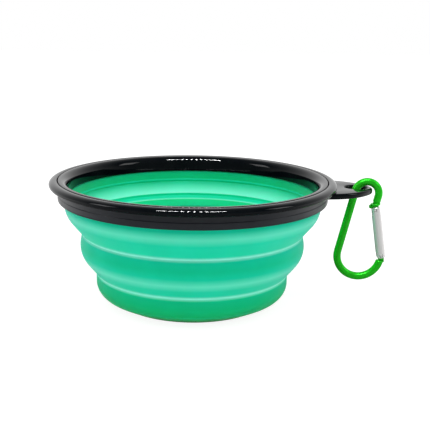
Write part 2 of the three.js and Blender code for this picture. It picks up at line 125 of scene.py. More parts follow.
# Silicone's painted highlight (paler) and painted shade (deeper green), as shares of 1, and the lengths
# that they spread over
FOLD_LINE_WIDTH = 1.2 * MM
FOLD_LINE_RISE = 0.3 * MM
SHOULDER_HEIGHTS = (21.8 * MM, 43.6 * MM)
SHOULDER_WIDTH = 3.2 * MM
SHOULDER_PAINTED_HIGHLIGHT = 0.3
INNER_SHOULDER_WIDTH = 5.0 * MM
INNER_SHOULDER_PAINTED_HIGHLIGHT = 0.05
INNER_EDGE_PAINTED_HIGHLIGHT = 0.4
CONE_LINE_WIDTH = 0.4 * MM
CONE_LINE_PAINTED_HIGHLIGHT = 0.35
INNER_SHOULDER_PAINTED_SHADE = 0.15
INNER_WALL_PAINTED_SHADE = 0.5
CUP_PAINTED_SHADE_FADE = 0.75
BULGE_PAINTED_SHADE = 0.2
SKIN_DEPTH = 1.25 * MM

# Rim
SKIRT_RADIUS = 61.2 * MM
SKIRT_INSIDE = 58.7 * MM
SKIRT_ROUND = 1.1 * MM
SKIRT_STEP = 0.25 * MM
SATIN_BELOW_LIP = 1.2 * MM
SATIN_MARGIN = 1.0 * MM
LIP_THICKNESS = 3.5 * MM
LIP_REACH = 2.6 * MM
LIP_END_DEGREES = 112
SEAM_RADIUS = 61.2 * MM
SEAM_DROP = 0.5 * MM
SEAM_GAP = 0.3 * MM
MOUTH_RADIUS = 56.0 * MM
MOUTH_WALL = 1.0 * MM
MOUTH_SLOPE = math.radians(7.5)
CROWN_ROUND = 3.5 * MM
CREASE_ROUND = 0.25 * MM
TOP_RING_DEPTH = 2.9 * MM

# Tab
TAB_THICKNESS = 2.6 * MM
TAB_BELOW_TOP = 3.2 * MM
TAB_ROOT_HALF_WIDTH = 17.0 * MM
TAB_TIP_RADIUS = 9.0 * MM
TAB_TIP_ANGLE = math.radians(30)
TAB_TIP_BAR = 2.4 * MM
TAB_HOLE_LENGTH = 10.0 * MM
TAB_HOLE_WIDTH = 9.0 * MM
TAB_EDGE_ROUND = 0.95 * MM
TAB_ROOT_RADIUS = 60.6 * MM

# Carabiner
ROD_RADIUS = 1.75 * MM
TOP_ARC_RADIUS = 5.4 * MM
BOTTOM_ARC_RADIUS = 10.0 * MM
ARC_SPACING = 29.4 * MM
ARC_SIDE_STEP = 2.0 * MM
HANG_INSIDE_BAR = 1.05 * MM
HANG_BELOW_BAR = 1.55 * MM
NOSE_ANGLE = math.radians(13.5)
NOSE_LENGTH = 4.4 * MM
NECK_RADIUS = 1.45 * MM
NECK_LENGTH = 1.5 * MM
COLLAR_RADIUS = 2.3 * MM
COLLAR_HEIGHT = 1.0 * MM
COLLAR_ROUND = 0.3 * MM
NOSE_HOOK = 0.8 * MM
ROD_END_ANGLE = math.radians(12.5)
ROD_END_ROUND = 0.5 * MM
HINGE_RISE = 2.6 * MM
TENON_RADIUS = 1.45 * MM
TENON_FLAT = 1.1 * MM
TENON_ROUND_DEGREES = 50
BLADE_THICKNESS = 1.4 * MM
BLADE_DEPTH = 3.4 * MM
BLADE_WIDTH = 2.4 * MM

# Gate
GATE_RADIUS = 2.1 * MM
GATE_CHAMFER = 0.6 * MM
GATE_FOOT = 1.4 * MM
NOSE_GAP = 0.5 * MM
SLOT_WIDTH = 2.0 * MM
NOSE_SLOT_DEPTH = 4.4 * MM
HINGE_SLOT_DEPTH = 1.75 * MM
LATCH_PIN_RADIUS = 0.55 * MM
LATCH_PIN_BELOW_END = 1.3 * MM
HINGE_PIN_RADIUS = 0.65 * MM
PIN_CLEARANCE = 0.15 * MM
BORE_RADIUS = 1.15 * MM
BORE_LENGTH = 10.0 * MM
CUTTER_REACH = 2 * GATE_RADIUS

# Spread of a noise texture that reaches the ends of a range of numbers or of shades
NUMBER_SPREAD = (0.3, 0.7)
SHADE_SPREAD = (0.35, 0.65)

# Floor: its tones, and its glow by the distance from the bowl, to the camera and in reflections
FLOOR_HALF_SIZE = 3.0
FLOOR_TONE = 0.85
CAMERA_TONE = 0.25
CAMERA_GLOW = (0.9, 1.0)
CAMERA_DISTANCES = (0.12, 0.35)
REFLECTED_TONE = 0.04
REFLECTED_DISTANCES = (0.06, 0.25)
REFLECTED_NEAR_GLOW = 0.05
REFLECTED_FAR_GLOW = (0.2, 1.0)
FRONT_TO_BACK = (-0.2, 0.05)

# World: a sky that lights by its height, and a backdrop in reflections, dim on the camera's side
SKY_HEIGHTS = (-0.05, 0.65)
SKY_LEVELS = (0.04, 0.9)
BACKDROP_SIDE = (0, 1, -0.8)
BACKDROP_SPAN = (-0.5, 0.5)
BACKDROP_LEVELS = (0.1, 1.0)

# Lamps, in metres and watts
KEY_LAMPS = 12
KEY_HALF_LENGTH = 0.24
KEY_Y = -0.3
KEY_Z = 0.78
KEY_SIZE = (0.01, 0.016)
KEY_POWER = 4.35
GLINT_SIZE = (0.01, 0.11)
GLINT_POWER = 11.0
FILL_X = 0.75
FILL_Y = -0.2
FILL_Z = 0.48
FILL_SIZE = (0.25, 0.35)
FILL_POWER = 1.0

# Camera, from the photograph's perspective
CAMERA_PLACE = Vector((0, -360 * MM, 126.8 * MM))
CAMERA_AZIMUTH = math.radians(1.5)
CAMERA_PITCH = math.radians(13.564)
CAMERA_ROLL = math.radians(0.668)
CAMERA_CLIP_START = 0.01
SENSOR_WIDTH = 36
IMAGE_SIZE = 430
FOCAL_PIXELS = 802.5
AXIS_PIXEL = 192.5


# Profiles and outlines

def polar(radius, angle):
    """A place in a plane, by its radius and angle."""
    return Vector((radius * math.cos(angle), radius * math.sin(angle)))


def filleted(corners):
    """Points along straight runs between (radius, height, fillet) corners, with an arc at each fillet."""
    points = []
    for index, (x, z, fillet) in enumerate(corners):
        corner = Vector((x, z))
        inner = 0 < index < len(corners) - 1
        if not fillet or not inner:
            points.append(corner)
            continue
        before = (Vector(corners[index - 1][:2]) - corner).normalized()
        after = (Vector(corners[index + 1][:2]) - corner).normalized()
        half = before.angle(after) / 2
        reach = fillet / math.tan(half)
        centre = corner + (before + after).normalized() * fillet / math.sin(half)
        start = corner + before * reach - centre
        end = corner + after * reach - centre
        turn = start.angle_signed(end)
        count = max(FEWEST_FILLET_STEPS, math.ceil(abs(turn) / FILLET_STEP))
        for step in range(count + 1):
            points.append(centre + Matrix.Rotation(-turn * step / count, 2) @ start)
    return points


def subdivided(profile, closed):
    """The profile with extra points on its long runs."""
    points = []
    following = profile[1:] + (profile[:1] if closed else [])
    for start, end in zip(profile, following):
        count = max(1, math.ceil((end - start).length / LONGEST_RUN))
        points += [start.lerp(end, step / count) for step in range(count)]
    return points if closed else points + [profile[-1]]


def spread_angles(start, end, steps):
    """Angles in radians from start to end in degrees, both ends included."""
    return [math.radians(start + (end - start) * step / steps) for step in range(steps + 1)]


def ellipse(x, z, reach, rise, start, end, steps):
    """Points on an elliptical arc in the profile plane, angles in degrees."""
    angles = spread_angles(start, end, steps)
    return [Vector((x + reach * math.cos(angle), z + rise * math.sin(angle))) for angle in angles]


def arc_points(x, z, radius, start, end, steps):
    """Points on a round arc in the profile plane, angles in degrees."""
    return ellipse(x, z, radius, radius, start, end, steps)


# Meshes

def smooth(mesh):
    """Smooth shading that stops at the sharp edges."""
    for polygon in mesh.polygons:
        polygon.use_smooth = True
    mesh.set_sharp_from_angle(angle=SHARP_ANGLE)


def finish_mesh(name, mesh_data, materials):
    """A smooth-shaded object whose sharp edges stay sharp."""
    bmesh.ops.recalc_face_normals(mesh_data, faces=mesh_data.faces)
    mesh = bpy.data.meshes.new(name)
    mesh_data.to_mesh(mesh)
    mesh_data.free()
    for material in materials:
        mesh.materials.append(material)
    smooth(mesh)
    piece = bpy.data.objects.new(name, mesh)
    bpy.context.scene.collection.objects.link(piece)
    return piece


def cut_away(piece, *cutters):
    """Takes the cutters' room out of a piece."""
    for cutter in cutters:
        modifier = piece.modifiers.new("cut", "BOOLEAN")
        modifier.operation = "DIFFERENCE"
        modifier.solver = "EXACT"
        modifier.object = cutter
    graph = bpy.context.evaluated_depsgraph_get()
    mesh = bpy.data.meshes.new_from_object(piece.evaluated_get(graph))
    piece.modifiers.clear()
    piece.data = mesh
    for cutter in cutters:
        bpy.data.objects.remove(cutter)
    smooth(mesh)
    return piece


def add_plate(mesh_data, outline, thickness, place):
    """A flat plate with an outline of (x, z) points, centred on the place's Y = 0."""
    front, back = [
        [mesh_data.verts.new(place @ Vector((x, side * thickness / 2, z))) for x, z in outline]
        for side in (-1, 1)
    ]
    mesh_data.faces.new(front)
    mesh_data.faces.new(list(reversed(back)))
    for index in range(len(outline)):
        after = (index + 1) % len(outline)
        mesh_data.faces.new([front[after], front[index], back[index], back[after]])
    return mesh_data


def add_turned(mesh_data, profile, closed, segments=RING_SEGMENTS, place=Matrix.Identity(4)):
    """Turns a profile of (radius, height) points about Z. An open one starts and ends on the axis."""
    angles = [2 * math.pi * step / segments for step in range(segments)]
    rings = []
    for radius, height in profile:
        if radius < ON_AXIS:
            ring = [Vector((0, 0, height))]
        else:
            ring = [Vector((*polar(radius, angle), height)) for angle in angles]
        rings.append([mesh_data.verts.new(place @ point) for point in ring])
    following = rings[1:] + (rings[:1] if closed else [])
    for low, high in zip(rings, following):
        for step in range(segments):
            after = (step + 1) % segments
            corners = [low[step % len(low)], low[after % len(low)]]
            corners += [high[after % len(high)], high[step % len(high)]]
            mesh_data.faces.new(list(dict.fromkeys(corners)))
    return mesh_data


def add_swept(mesh_data, path, radii):
    """A round rod along a path in the XZ plane, with a radius at each point and closed ends."""
    depth = Vector((0, 1, 0))
    angles = [2 * math.pi * side / ROD_SIDES for side in range(ROD_SIDES)]
    rings = []
    for index, place in enumerate(path):
        ahead = path[min(index + 1, len(path) - 1)]
        behind = path[max(index - 1, 0)]
        across = (ahead - behind).normalized().cross(depth)
        spokes = [math.cos(angle) * across + math.sin(angle) * depth for angle in angles]
        rings.append([mesh_data.verts.new(place + radii[index] * spoke) for spoke in spokes])
    for low, high in zip(rings, rings[1:]):
        for side in range(ROD_SIDES):
            after = (side + 1) % ROD_SIDES
            mesh_data.faces.new([low[side], high[side], high[after], low[after]])
    mesh_data.faces.new(rings[0])
    mesh_data.faces.new(list(reversed(rings[-1])))
    return mesh_data


# Shader nodes

def ranged(tree, value, start, end, low, high):
    """A number that goes from low to high while the value goes from start to end."""
    spread = tree.nodes.new("ShaderNodeMapRange")
    spread.inputs["From Min"].default_value = start
    spread.inputs["From Max"].default_value = end
    spread.inputs["To Min"].default_value = low
    spread.inputs["To Max"].default_value = high
    tree.links.new(value, spread.inputs["Value"])
    return spread.outputs["Result"]


def larger(tree, first, second):
    """The larger of two numbers."""
    choice = tree.nodes.new("ShaderNodeMath")
    choice.operation = "MAXIMUM"
    tree.links.new(first, choice.inputs[0])
    tree.links.new(second, choice.inputs[1])
    return choice.outputs["Value"]


def noise(tree, scale, detail=3.0, stretch=(1, 1, 1), turn=(0, 0, 0)):
    """A noise texture in the object's own coordinates, scale in features per metre."""
    place = tree.nodes.new("ShaderNodeTexCoord")
    mapping = tree.nodes.new("ShaderNodeMapping")
    mapping.vector_type = "TEXTURE"
    mapping.inputs["Rotation"].default_value = turn
    mapping.inputs["Scale"].default_value = stretch
    texture = tree.nodes.new("ShaderNodeTexNoise")
    texture.inputs["Scale"].default_value = scale
    texture.inputs["Detail"].default_value = detail
    tree.links.new(place.outputs["Object"], mapping.inputs["Vector"])
    tree.links.new(mapping.outputs["Vector"], texture.inputs["Vector"])
    return texture.outputs["Fac"]


def layer_amount(tree, layer):
    """The mesh's own layer of numbers."""
    amount = tree.nodes.new("ShaderNodeAttribute")
    amount.attribute_name = layer
    return amount.outputs["Fac"]


def vary(tree, socket, factor, low, high):
    """Drives a number between low and high by a texture."""
    tree.links.new(ranged(tree, factor, *NUMBER_SPREAD, low, high), socket)


def follow(tree, socket, layer, low, high):
    """Drives a number from low to high by the mesh's own layer of numbers."""
    tree.links.new(ranged(tree, layer_amount(tree, layer), 0, 1, low, high), socket)


def tint(tree, socket, factor, dark, light):
    """Drives a colour between two shades by a texture."""
    ramp = tree.nodes.new("ShaderNodeValToRGB")
    for element, position, colour in zip(ramp.color_ramp.elements, SHADE_SPREAD, (dark, light)):
        element.position = position
        element.color = (*colour, 1)
    tree.links.new(factor, ramp.inputs["Fac"])
    tree.links.new(ramp.outputs["Color"], socket)


def shift(tree, socket, layer, colour):
    """Moves a colour towards another one where the mesh's own layer of numbers says so."""
    mix = tree.nodes.new("ShaderNodeMix")
    mix.data_type = "RGBA"
    mix.inputs["B"].default_value = (*colour, 1)
    before = socket.links[0].from_socket
    tree.links.new(layer_amount(tree, layer), mix.inputs["Factor"])
    tree.links.new(before, mix.inputs["A"])
    tree.links.new(mix.outputs["Result"], socket)


def grain(tree, shader, factor, strength, depth):
    """A fine surface texture."""
    bump = tree.nodes.new("ShaderNodeBump")
    bump.inputs["Strength"].default_value = strength
    bump.inputs["Distance"].default_value = depth
    tree.links.new(factor, bump.inputs["Height"])
    tree.links.new(bump.outputs["Normal"], shader.inputs["Normal"])


# Materials

def new_material(name, colour, roughness, metallic=0.0, **sockets):
    """A material, its node tree and its shader, with further sockets by name."""
    material = bpy.data.materials.new(name)
    material.use_nodes = True
    shader = material.node_tree.nodes["Principled BSDF"]
    shader.inputs["Base Color"].default_value = (*colour, 1)
    shader.inputs["Roughness"].default_value = roughness
    shader.inputs["Metallic"].default_value = metallic
    for socket, value in sockets.items():
        shader.inputs[socket.replace("_", " ")].default_value = value
    return material, material.node_tree, shader


def silicone_material():
    """Matte and translucent, with painted shade, a deeper green, in the thick base cup, on the inner walls
    and on the band's bulge, and painted highlights, a paler mint, along its folds and shoulders.
    """
    translucency = 0.8
    material, tree, shader = new_material(
        "silicone", colour=(0.002, 0.55, 0.355), roughness=0.58,
        Subsurface_Weight=translucency, Subsurface_Scale=0.006, Subsurface_Radius=(0.3, 1.0, 0.7),
        Specular_IOR_Level=0.1, Specular_Tint=(0.6, 1.0, 1.0, 1), Sheen_Weight=0.2, Sheen_Roughness=0.4)
    base = shader.inputs["Base Color"]
    tint(tree, base, noise(tree, scale=60), dark=(0.001, 0.535, 0.34), light=(0.003, 0.565, 0.37))
    # Painted shade: a darker, deeper green where the depth layer says so
    shift(tree, base, "depth", colour=(0.0, 0.39, 0.06))
    # Painted highlight: a pale mint where its layer says so, which also turns the translucency down there
    shift(tree, base, "painted_highlight", colour=(0.36, 0.97, 0.8))
    follow(tree, shader.inputs["Subsurface Weight"], "painted_highlight", low=translucency, high=0.0)
    vary(tree, shader.inputs["Roughness"], noise(tree, scale=220), low=0.55, high=0.61)
    grain(tree, shader, noise(tree, scale=2600, detail=2), strength=0.08, depth=0.04 * MM)
    return material


def gloss_rim_material():
    """Black gloss of the lip, the tab and the top ring."""
    material, tree, shader = new_material(
        "rim_gloss", colour=(0.002, 0.003, 0.004), roughness=0.02, Specular_IOR_Level=0.22)
    base = shader.inputs["Base Color"]
    tint(tree, base, noise(tree, scale=90), dark=(0.001, 0.002, 0.003), light=(0.003, 0.004, 0.005))
    vary(tree, shader.inputs["Roughness"], noise(tree, scale=300), low=0.015, high=0.025)
    grain(tree, shader, noise(tree, scale=900, detail=2), strength=0.02, depth=0.03 * MM)
    return material


def satin_rim_material():
    """Dark satin of the skirt."""
    material, tree, shader = new_material(
        "rim_satin", colour=(0.014, 0.017, 0.023), roughness=0.34, Specular_IOR_Level=0.5)
    base = shader.inputs["Base Color"]
    tint(tree, base, noise(tree, scale=120), dark=(0.012, 0.015, 0.021), light=(0.016, 0.019, 0.025))
    vary(tree, shader.inputs["Roughness"], noise(tree, scale=400), low=0.3, high=0.38)
    grain(tree, shader, noise(tree, scale=1500, detail=2), strength=0.02, depth=0.03 * MM)
    return material


def anodised_material():
    """Satin green of the carabiner's rod."""
    material, tree, shader = new_material(
        "anodised_green", colour=(0.014, 0.6, 0.009), roughness=0.3, metallic=0.55)
    base = shader.inputs["Base Color"]
    tint(tree, base, noise(tree, scale=500), dark=(0.012, 0.58, 0.007), light=(0.016, 0.62, 0.011))
    vary(tree, shader.inputs["Roughness"], noise(tree, scale=1200), low=0.3, high=0.35)
    grain(tree, shader, noise(tree, scale=5000, detail=2), strength=0.03, depth=0.02 * MM)
    return material


def brushed_material(name, colour, roughness, turn):
    """Metal with fine lines along its length, which lies along Z before the turn about Y."""
    material, tree, shader = new_material(name, colour, roughness, metallic=0.5)
    lines = noise(tree, scale=3000, detail=2, stretch=(1, 1, 40), turn=(0, turn, 0))
    dark, light = [tuple(level * channel for channel in colour) for level in (0.92, 1.04)]
    tint(tree, shader.inputs["Base Color"], lines, dark, light)
    vary(tree, shader.inputs["Roughness"], lines, low=roughness - 0.05, high=roughness + 0.07)
    grain(tree, shader, lines, strength=0.1, depth=0.02 * MM)
    return material


silicone = silicone_material()
rim_gloss = gloss_rim_material()
rim_satin = satin_rim_material()
anodised = anodised_material()


# Silicone: the outer creases, and the cones that rise from them

upper_crease = BAND_RADIUS - BAND_BULGE - LEDGE_WIDTH
lower_crease = CUP_RADIUS - LEDGE_WIDTH
upper_web_slope = (UPPER_WEB_TOP - BAND_TOP) / UPPER_WEB_SPREAD
lower_web_slope = (LOWER_WEB_TOP - CUP_TOP) / LOWER_WEB_SPREAD


def upper_web_radius(height):
    """The upper cone's outer radius at a height."""
    return upper_crease + (height - BAND_TOP) / upper_web_slope


def lower_web_radius(height):
    """The lower cone's outer radius at a height."""
    return lower_crease + (height - CUP_TOP) / lower_web_slope


# Silicone: layers of numbers for its colour

def peak(value, middle, width):
    """1 at the middle, falling to 0 a width away on both sides."""
    return max(0.0, 1 - abs(value - middle) / width)


def outer_radius(height):
    """The silicone's outer radius at a height, without its rounds and ledges."""
    if height < CUP_TOP:
        return min(CUP_RADIUS, BASE_FLAT_RADIUS + height / math.tan(BASE_SLOPE))
    if height < BAND_TOP:
        return min(BAND_RADIUS, lower_web_radius(height))
    return min(UPPER_BAND_RADIUS, upper_web_radius(height))


def is_inside(place):
    """True on the silicone's inner surface."""
    return place.xy.length < outer_radius(place.z) - SKIN_DEPTH


def painted_highlight(place):
    """How much painted highlight the silicone gets: on the outer fold lines and shoulders, the inner
    shoulder and line.
    """
    if not is_inside(place):
        creases = (BAND_TOP, CUP_TOP)
        line = max(peak(place.z, crease + FOLD_LINE_RISE, FOLD_LINE_WIDTH) for crease in creases)
        shoulder = max(peak(place.z, height, SHOULDER_WIDTH) for height in SHOULDER_HEIGHTS)
        return max(line, SHOULDER_PAINTED_HIGHLIGHT * shoulder)
    if INNER_EDGE_Z <= place.z < INNER_GROOVE_Z:
        return INNER_SHOULDER_PAINTED_HIGHLIGHT + INNER_EDGE_PAINTED_HIGHLIGHT * peak(place.z, INNER_EDGE_Z, INNER_SHOULDER_WIDTH)
    return CONE_LINE_PAINTED_HIGHLIGHT * peak(place.z, CONE_LINE_Z, CONE_LINE_WIDTH)


def painted_shade(place):
    """How much painted shade, a deeper green, the silicone gets: in the thick base cup, most at its foot,
    on the inner walls and on the band's bulge.
    """
    if is_inside(place):
        on_shoulder = CONE_LINE_Z < place.z < INNER_RIDGE_Z + INNER_RIDGE
        return INNER_SHOULDER_PAINTED_SHADE if on_shoulder else INNER_WALL_PAINTED_SHADE
    if place.z < CUP_TOP:
        return 1 - CUP_PAINTED_SHADE_FADE * place.z / CUP_TOP
    return BULGE_PAINTED_SHADE * peak(place.z, BAND_BULGE_Z, SHOULDER_WIDTH)


def layered(piece):
    """Stores the two amounts at each vertex."""
    # The painted highlight, and the painted shade that the depth layer holds
    for name, amount in (("painted_highlight", painted_highlight), ("depth", painted_shade)):
        layer = piece.data.attributes.new(name, "FLOAT", "POINT")
        layer.data.foreach_set("value", [amount(vertex.co) for vertex in piece.data.vertices])
    return piece


# Silicone: the upper piece is clamped in the rim, and the lower piece hangs from its crease

def upper_silicone():
    """The flange, the upper band and the upper cone, turned as a closed ring."""
    def cone_inside(height):
        return upper_web_radius(height) - WEB_LEVEL_WALL

    shoulder_z = BAND_TOP + (UPPER_BAND_RADIUS - upper_crease) * upper_web_slope
    flange_bottom = FLANGE_TOP - FLANGE_THICKNESS
    outside = [
        (upper_crease, BAND_TOP, 0),
        (UPPER_BAND_RADIUS, shoulder_z, SHOULDER_ROUND),
        (UPPER_BAND_RADIUS, flange_bottom, 0),
        (FLANGE_RADIUS, flange_bottom, 0),
        (FLANGE_RADIUS, FLANGE_TOP, 0),
    ]
    wall_foot = INNER_WALL_RADIUS - INNER_RIDGE
    edge = cone_inside(INNER_EDGE_Z) - INNER_NOSE
    nose_z = INNER_EDGE_Z - INNER_NOSE * upper_web_slope
    # The inner shoulder's two slopes, from the groove and from the edge, meet at the bend
    high_slope, low_slope = [math.tan(angle) for angle in INNER_SHOULDER_SLOPES]
    level_gap = edge - wall_foot + INNER_GROOVE_Z * high_slope - INNER_EDGE_Z * low_slope
    bend_z = level_gap / (high_slope - low_slope)
    inside = [
        (CLAMPED_INSIDE, FLANGE_TOP, 0),
        (CLAMPED_INSIDE, MOUTH_BOTTOM - SEAM_GAP, 0),
        (INNER_WALL_RADIUS, MOUTH_BOTTOM - SEAM_GAP, SEAM_GAP),
        (wall_foot, INNER_RIDGE_Z + 2 * INNER_RIDGE, INNER_RIDGE),
        (wall_foot - INNER_RIDGE, INNER_RIDGE_Z, INNER_RIDGE),
        (wall_foot, INNER_GROOVE_Z, INNER_RIDGE),
        (edge + (bend_z - INNER_EDGE_Z) * low_slope, bend_z, INNER_SHOULDER_ROUND),
        (edge, INNER_EDGE_Z, CONE_LINE),
        (edge, nose_z, CONE_LINE),
        (cone_inside(CONE_LINE_Z + CONE_LINE), CONE_LINE_Z + CONE_LINE, CONE_LINE / 2),
        (cone_inside(CONE_LINE_Z) - CONE_LINE, CONE_LINE_Z, CONE_LINE / 2),
        (cone_inside(CONE_LINE_Z - 2 * CONE_LINE), CONE_LINE_Z - 2 * CONE_LINE, CONE_LINE / 2),
        (cone_inside(BAND_TOP), BAND_TOP, 0),
    ]
    profile = subdivided(filleted(outside) + filleted(inside), closed=True)
    mesh_data = add_turned(bmesh.new(), profile, closed=True)
    return layered(finish_mesh("silicone_upper", mesh_data, [silicone]))


def lower_silicone():
    """The middle band, the lower cone and the base cup, turned from axis to axis."""
    shoulder_z = CUP_TOP + (BAND_RADIUS - lower_crease) * lower_web_slope
    ledge_drop = LEDGE_ROUND * math.tan(LEDGE_ANGLE / 2) * math.cos(LEDGE_ANGLE)
    cup_slope = math.tan(BASE_SLOPE)
    outside = [
        (0, 0, 0),
        (BASE_FLAT_RADIUS, 0, CUP_ROUND),
        (CUP_RADIUS, (CUP_RADIUS - BASE_FLAT_RADIUS) * cup_slope, CUP_ROUND),
        (CUP_RADIUS, CUP_TOP - ledge_drop, LEDGE_ROUND),
        (lower_crease, CUP_TOP, 0),
        (BAND_RADIUS, shoulder_z, SHOULDER_ROUND),
        (BAND_RADIUS, BAND_BULGE_Z, SHOULDER_ROUND),
        (BAND_RADIUS - BAND_BULGE, BAND_TOP - ledge_drop, LEDGE_ROUND),
        (upper_crease, BAND_TOP, 0),
    ]
    band_middle = (LOWER_WEB_TOP + BAND_TOP) / 2
    inner_wall = CUP_RADIUS - BAND_WALL
    inner_foot = FLOOR_THICKNESS + (inner_wall - BASE_FLAT_RADIUS) * cup_slope
    inside = [
        (upper_crease - WEB_LEVEL_WALL, BAND_TOP, 0),
        (BAND_RADIUS - BAND_WALL, band_middle, SHOULDER_ROUND / 2),
        (lower_web_radius(LOWER_WEB_TOP) - WEB_LEVEL_WALL, LOWER_WEB_TOP, LEDGE_WIDTH),
        (lower_crease - WEB_LEVEL_WALL, CUP_TOP, LEDGE_WIDTH),
        (inner_wall, CUP_TOP - LEDGE_ROUND, LEDGE_ROUND),
        (inner_wall, inner_foot, CUP_ROUND - BAND_WALL),
        (BASE_FLAT_RADIUS, FLOOR_THICKNESS, CUP_ROUND),
        (0, FLOOR_THICKNESS, 0),
    ]
    profile = subdivided(filleted(outside) + filleted(inside), closed=False)
    mesh_data = add_turned(bmesh.new(), profile, closed=False)
    return layered(finish_mesh("silicone_lower", mesh_data, [silicone]))


# Rim

def rim_outer():
    """The ring with its satin skirt, rolled glossy lip and tab, and a seat for the flange."""
    lip_bottom = RIM_TOP - LIP_THICKNESS
    lip_centre = RIM_RADIUS - LIP_REACH
    half_lip = LIP_THICKNESS / 2
    lip = ellipse(lip_centre, RIM_TOP - half_lip, LIP_REACH, half_lip, -90, LIP_END_DEGREES, LIP_STEPS)
    step_z = (SKIRT_BOTTOM + lip_bottom) / 2
    skirt = filleted([
        (SKIRT_INSIDE, SKIRT_BOTTOM, 0),
        (SKIRT_RADIUS, SKIRT_BOTTOM, SKIRT_ROUND),
        (SKIRT_RADIUS, step_z, SKIRT_STEP),
        (SKIRT_RADIUS - SKIRT_STEP, step_z + SKIRT_STEP, SKIRT_STEP),
        (SKIRT_RADIUS - SKIRT_STEP, lip_bottom, SKIRT_STEP),
        (lip_centre, lip_bottom, 0),
    ])
    seat_bottom = FLANGE_TOP - FLANGE_THICKNESS - SEAM_GAP
    seat_radius = FLANGE_RADIUS + SEAM_GAP
    inside = [
        Vector((SEAM_RADIUS, RIM_TOP - SEAM_DROP)),
        Vector((SEAM_RADIUS, FLANGE_TOP)),
        Vector((seat_radius, FLANGE_TOP)),
        Vector((seat_radius, seat_bottom)),
        Vector((SKIRT_INSIDE, seat_bottom)),
    ]
    # The lip starts where the skirt ends, so the skirt's last point is left out
    mesh_data = add_turned(bmesh.new(), skirt[:-1] + lip + inside, closed=True)
    add_tab(mesh_data)
    piece = finish_mesh("rim_outer_ring_with_tab", mesh_data, [rim_gloss, rim_satin])
    for polygon in piece.data.polygons:
        below_lip = polygon.center.z < lip_bottom - SATIN_BELOW_LIP
        on_skirt = polygon.center.xy.length < SKIRT_RADIUS + SATIN_MARGIN
        polygon.material_index = int(below_lip and on_skirt)
    return piece


def tab_outline():
    """The tab's edge from its root round its tip, as points in the XY plane."""
    root_angle = math.asin(TAB_ROOT_HALF_WIDTH / TAB_ROOT_RADIUS)
    root = polar(TAB_ROOT_RADIUS, root_angle)
    tip_centre = Vector((TAB_TIP - TAB_TIP_RADIUS, 0))
    flank = tip_centre + polar(TAB_TIP_RADIUS, TAB_TIP_ANGLE)
    bend = Vector((tip_centre.x, TAB_ROOT_HALF_WIDTH))
    side = []
    for step in range(TAB_STEPS + 1):
        share = step / TAB_STEPS
        side.append(root.lerp(bend, share).lerp(bend.lerp(flank, share), share))
    mirrored = [Vector((place.x, -place.y)) for place in reversed(side)]
    turns = [1 - 2 * step / TAB_STEPS for step in range(1, TAB_STEPS)]
    tip = [tip_centre + polar(TAB_TIP_RADIUS, TAB_TIP_ANGLE * turn) for turn in turns]
    root_arc = [polar(TAB_ROOT_RADIUS, -root_angle * turn) for turn in turns]
    return side + tip + mirrored + root_arc


def add_tab(mesh_data):
    """A plate with a rounded edge all round, and an oval hole with a rounded edge."""
    edge = tab_outline()
    half_length = TAB_HOLE_LENGTH / 2
    half_width = TAB_HOLE_WIDTH / 2
    hole_centre = Vector((TAB_TIP - TAB_TIP_BAR - half_length, 0))
    top = RIM_TOP - TAB_BELOW_TOP
    bottom = top - TAB_THICKNESS

    def edge_point(index, inset):
        along = (edge[(index + 1) % len(edge)] - edge[index - 1]).normalized()
        return edge[index] + inset * Vector((along.y, -along.x))

    def hole_point(index, grow):
        offset = edge[index] - hole_centre
        angle = math.atan2(offset.y / half_width, offset.x / half_length)
        reach = Vector(((half_length + grow) * math.cos(angle), (half_width + grow) * math.sin(angle)))
        return hole_centre + reach

    # Each ring of the plate's skin: over the outer edge, under the plate and up through the hole
    rounding = [
        (TAB_EDGE_ROUND * (1 - math.sin(angle)), TAB_EDGE_ROUND * (1 - math.cos(angle)))
        for angle in spread_angles(0, 90, TAB_EDGE_STEPS)
    ]
    section = [(edge_point, inset, top - fall) for inset, fall in rounding]
    section += [(edge_point, inset, bottom + fall) for inset, fall in reversed(rounding)]
    section += [(hole_point, inset, bottom + fall) for inset, fall in rounding]
    section += [(hole_point, inset, top - fall) for inset, fall in reversed(rounding)]
    rings = [
        [mesh_data.verts.new((*point(index, inset), height)) for index in range(len(edge))]
        for point, inset, height in section
    ]
    for low, high in zip(rings, rings[1:] + rings[:1]):
        for index in range(len(edge)):
            after = (index + 1) % len(edge)
            mesh_data.faces.new([low[index], low[after], high[after], high[index]])


def rim_top():
    """The ring that lines the mouth and snaps into the outer ring."""
    outer = SEAM_RADIUS - SEAM_GAP
    wall_outside = MOUTH_RADIUS + MOUTH_WALL
    foot = RIM_TOP - TOP_RING_DEPTH
    wall_top = MOUTH_RADIUS + (RIM_TOP - MOUTH_BOTTOM) * math.tan(MOUTH_SLOPE)
    profile = filleted([
        (outer, foot, 0),
        (outer, RIM_TOP, SEAM_GAP),
        (wall_top, RIM_TOP, CROWN_ROUND),
        (MOUTH_RADIUS, MOUTH_BOTTOM, CREASE_ROUND),
        (wall_outside, MOUTH_BOTTOM, CREASE_ROUND),
        (wall_outside, foot, 0),
    ])
    mesh_data = add_turned(bmesh.new(), profile, closed=True)
    return finish_mesh("rim_top_ring_smooth", mesh_data, [rim_gloss])


# Carabiner, in the XZ plane. The gate's frame has its origin on the hinge and Z along the gate

def in_plane(centre, radius, angle):
    """A place in the carabiner's plane, at a radius and angle about a centre."""
    return centre + radius * Vector((math.cos(angle), 0, math.sin(angle)))


